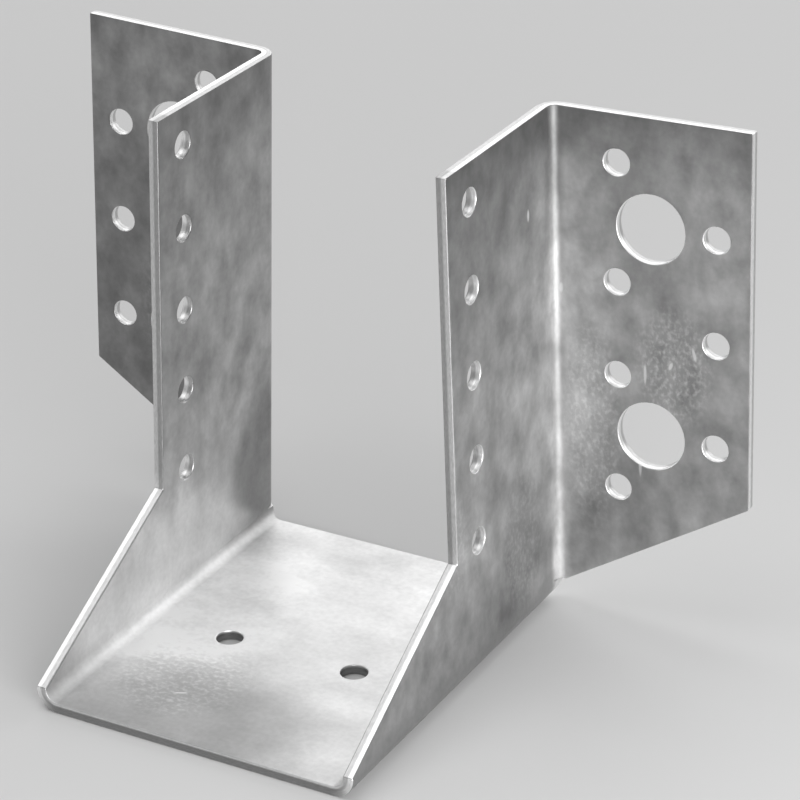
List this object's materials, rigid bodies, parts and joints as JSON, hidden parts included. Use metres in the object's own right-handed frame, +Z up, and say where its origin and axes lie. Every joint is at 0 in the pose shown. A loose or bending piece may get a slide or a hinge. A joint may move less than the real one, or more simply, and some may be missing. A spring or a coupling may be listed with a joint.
{
  "type": "joist hanger",
  "caption": "Joist hanger folded from one galvanised steel sheet: a seat with nail holes, two gusseted sides and two outward flanges with nail and bolt holes.",
  "frame": {"origin": "underside of the seat, midway between the sides and midway between the seat's front edge and the header face", "axes": "+Z up the sides, +Y towards the header, +X to the right as the joist runs up to the header"},
  "size_m": [0.1386, 0.08, 0.0993],
  "materials": {
    "galvanised_sheet": "hot-dip galvanised, mottled satin grey with bright sheared edges"
  },
  "bodies": {
    "root": {"hanger": "galvanised_sheet"}
  },
  "joints": []
}
